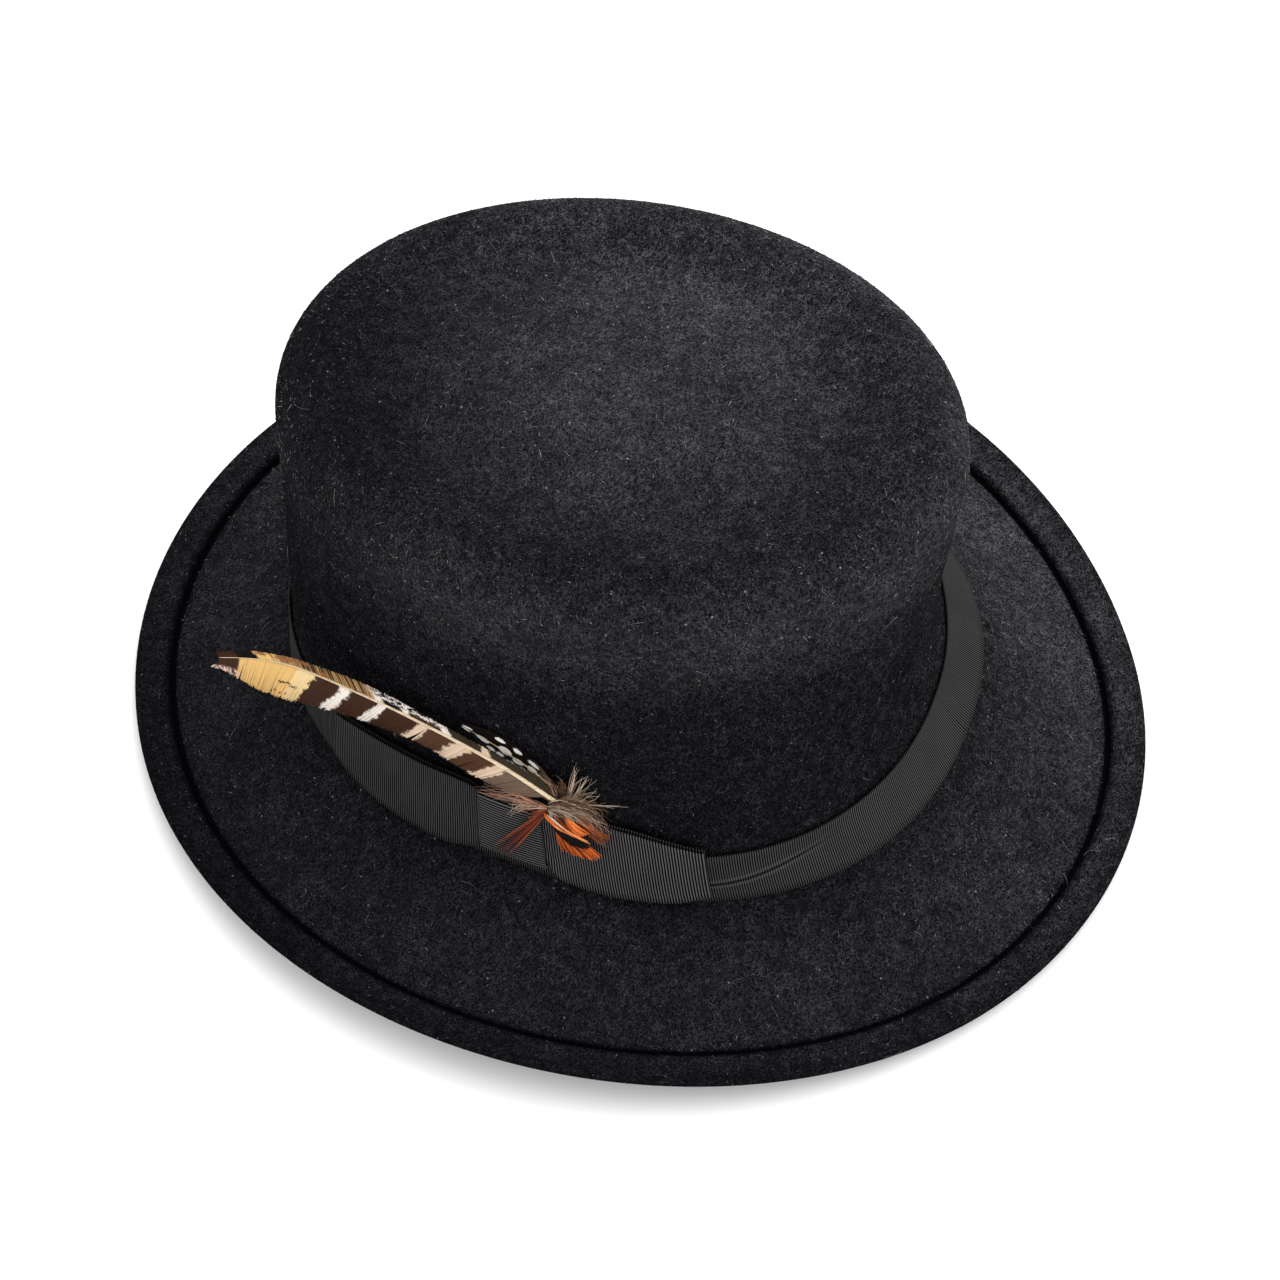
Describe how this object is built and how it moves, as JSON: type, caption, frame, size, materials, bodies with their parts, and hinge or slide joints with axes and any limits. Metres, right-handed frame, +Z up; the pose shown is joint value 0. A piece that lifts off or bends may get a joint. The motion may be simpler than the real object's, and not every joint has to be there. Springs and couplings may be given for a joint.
{
  "type": "felt hat",
  "caption": "Open-crown wool felt hat with a nearly flat top, a curled brim with a folded edge, a grosgrain band with a flat side bow, and a small feather mount.",
  "frame": {"origin": "on the plane that the hat rests on, below the middle of the brim", "axes": "+X towards the wearer's front along the brim's long axis, +Z up through the crown, -Y towards the side with the bow and the feathers"},
  "size_m": [0.3038, 0.2718, 0.1315],
  "materials": {
    "felt": "matte felted wool with a short nap",
    "ribbon": "ribbed grosgrain, soft satin on the ribs",
    "barred_feather": "smooth vane with a low sheen, barred brown and cream",
    "spotted_feather": "smooth vane with a low sheen, black with pale spots",
    "down": "fluffy and matte",
    "rust_feather": "fine barbs with a low sheen",
    "orange_feather": "fine barbs with a low sheen"
  },
  "bodies": {
    "root": {"felt_body": "felt", "band": "ribbon", "bow_loop_front": "ribbon", "bow_loop_back": "ribbon", "bow_knot": "ribbon", "feather_barred": "barred_feather", "feather_spotted": "spotted_feather", "down_tuft": "down", "rust_strands": "rust_feather", "orange_fan": "orange_feather"}
  },
  "joints": []
}
